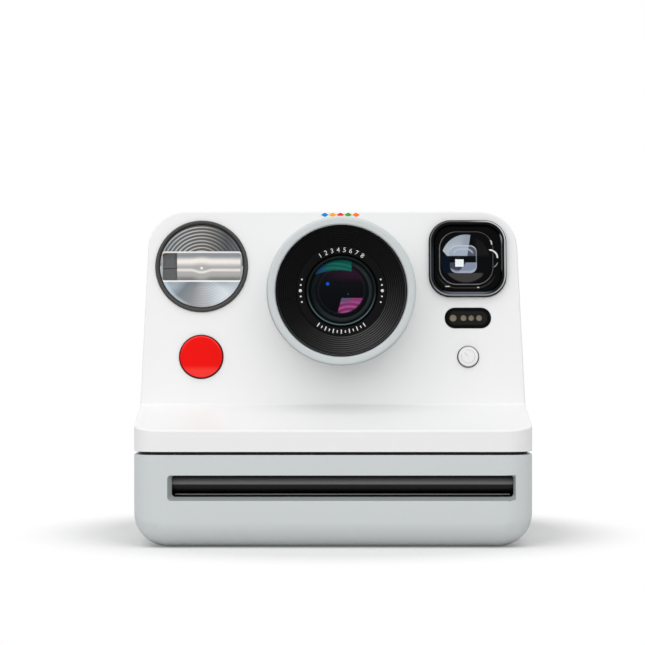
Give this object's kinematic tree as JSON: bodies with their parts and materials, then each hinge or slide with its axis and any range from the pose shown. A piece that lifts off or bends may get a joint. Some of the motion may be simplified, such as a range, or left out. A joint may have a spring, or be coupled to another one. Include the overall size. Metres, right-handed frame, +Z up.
{
  "type": "instant camera",
  "caption": "Box-type instant camera with a folding film door and exit slot, round lens barrel, round flash, viewfinder, exposure sensor and push buttons.",
  "frame": {"origin": "middle of the base, on the surface that the feet stand on", "axes": "+Z up, the lens looks along -Y, +X is to the viewer's right as seen from the front"},
  "size_m": [0.1122, 0.1502, 0.0958],
  "materials": {
    "white_shell": "fine satin moulded white ABS",
    "grey_shell": "fine satin moulded light grey ABS",
    "ring_grey": "satin light grey",
    "black_trim": "satin black",
    "lens_black": "satin black with turned grooves",
    "optical_glass": "coated, green and magenta reflections",
    "clear_window": "clear moulded acrylic",
    "rim_grey": "dark grey gloss",
    "reflector": "vacuum-metallised",
    "red_button": "satin red",
    "white_button": "satin white",
    "gold": "plated",
    "steel": "zinc-plated",
    "roller_steel": "ground",
    "rubber": "matt",
    "board": "glass-fibre board with green resist",
    "nylon": "natural nylon",
    "display": "black display module",
    "cell": "blue shrink sleeve"
  },
  "bodies": {
    "camera_body": {"front_shell": "white_shell", "rear_shell": "white_shell", "lower_tub": "grey_shell", "seam_band": "black_trim", "lens_barrel": "ring_grey", "lens_face": "lens_black", "lens_holder": "lens_black", "front_lens": "optical_glass", "shutter_plate": "black_trim", "flash_rim": "rim_grey", "flash_window": "clear_window", "flash_reflector": "reflector", "flash_tube": "clear_window", "flash_capacitor": "cell", "finder_bezel": "lens_black", "finder_window": "clear_window", "finder_tube": "black_trim", "eyepiece_frame": "black_trim", "eyepiece_lens": "clear_window", "sensor_bezel": "lens_black", "sensor_ports": "gold", "button_switches": "board", "counter_window": "clear_window", "counter_display": "display", "dark_chamber": "black_trim", "taking_mirror": "reflector", "mirror_clamp": "black_trim", "film_tray": "black_trim", "drive_motor": "steel", "gear_plate": "steel", "battery": "cell", "main_board": "board", "usb_socket": "steel", "strap_bars": "steel", "feet": "rubber", "screws": "steel"},
    "film_door": {"door_shell": "grey_shell", "film_shield": "black_trim", "hinge_pins": "steel", "roller_frame": "black_trim"},
    "lower_roller": {"lower_roller": "roller_steel", "roller_gear": "nylon"},
    "upper_roller": {"upper_roller": "roller_steel"},
    "idler_gear": {"idler_gear": "nylon"},
    "motor_pinion": {"motor_pinion": "gold"},
    "shutter_button": {"shutter_button": "red_button"},
    "timer_button": {"timer_button": "white_button"},
    "power_button": {"power_button": "red_button"},
    "flash_button": {"flash_button": "white_button"},
    "door_latch": {"door_latch": "black_trim"},
    "pick_arm": {"pick_arm": "steel"},
    "focus_carrier": {"focus_carrier": "black_trim", "focus_lenses": "optical_glass"},
    "shutter_blade_left": {"shutter_blade_left": "black_trim"},
    "shutter_blade_right": {"shutter_blade_right": "black_trim"}
  },
  "joints": [
    {"name": "door_hinge", "type": "hinge", "parent": "camera_body", "child": "film_door", "pos_m": [0, -0.0371, 0.0034], "axis": [1, 0, 0], "range_deg": [0, 75]},
    {"name": "lower_roller_spin", "type": "hinge", "parent": "film_door", "child": "lower_roller", "pos_m": [0.0024, -0.0531, 0.01015], "axis": [1, 0, 0], "continuous": true},
    {"name": "upper_roller_spin", "type": "hinge", "parent": "film_door", "child": "upper_roller", "pos_m": [0.0024, -0.0531, 0.01885], "axis": [1, 0, 0], "continuous": true},
    {"name": "idler_spin", "type": "hinge", "parent": "camera_body", "child": "idler_gear", "pos_m": [-0.0485, -0.04882, 0.02029], "axis": [1, 0, 0], "continuous": true},
    {"name": "pinion_spin", "type": "hinge", "parent": "camera_body", "child": "motor_pinion", "pos_m": [-0.0485, -0.04882, 0.02978], "axis": [1, 0, 0], "continuous": true},
    {"name": "shutter_button_press", "type": "slide", "parent": "camera_body", "child": "shutter_button", "axis": [0, 0.9903, -0.1392], "range_m": [0, 0.0009], "stiffness_N_per_m": 700},
    {"name": "timer_button_press", "type": "slide", "parent": "camera_body", "child": "timer_button", "axis": [0, 0.9903, -0.1392], "range_m": [0, 0.0009], "stiffness_N_per_m": 700},
    {"name": "power_button_press", "type": "slide", "parent": "camera_body", "child": "power_button", "axis": [0, -0.6012, -0.7991], "range_m": [0, 0.0009], "stiffness_N_per_m": 700},
    {"name": "flash_button_press", "type": "slide", "parent": "camera_body", "child": "flash_button", "axis": [0, -0.6012, -0.7991], "range_m": [0, 0.0009], "stiffness_N_per_m": 700},
    {"name": "latch_slide", "type": "slide", "parent": "camera_body", "child": "door_latch", "axis": [0, 0, -1], "range_m": [0, 0.003], "stiffness_N_per_m": 250},
    {"name": "pick_slide", "type": "slide", "parent": "camera_body", "child": "pick_arm", "axis": [0, -1, 0], "range_m": [0, 0.012]},
    {"name": "focus_turn", "type": "hinge", "parent": "camera_body", "child": "focus_carrier", "pos_m": [0.0024, -0.0441, 0.0663], "axis": [0, 1, 0], "range_deg": [0, 180]},
    {"name": "left_blade_turn", "type": "hinge", "parent": "camera_body", "child": "shutter_blade_left", "pos_m": [-0.0106, -0.0398, 0.0763], "axis": [0, -1, 0], "range_deg": [0, 45], "stiffness_Nm_per_rad": 0.0005},
    {"name": "right_blade_turn", "type": "hinge", "parent": "camera_body", "child": "shutter_blade_right", "pos_m": [0.0154, -0.0407, 0.0763], "axis": [0, 1, 0], "range_deg": [0, 45], "stiffness_Nm_per_rad": 0.0005}
  ],
  "couplings": [
    {"joint": "upper_roller_spin", "follows": "lower_roller_spin", "ratio": -1.125},
    {"joint": "idler_spin", "follows": "lower_roller_spin", "ratio": -0.69231},
    {"joint": "pinion_spin", "follows": "lower_roller_spin", "ratio": 1.5},
    {"joint": "right_blade_turn", "follows": "left_blade_turn", "ratio": 1}
  ]
}
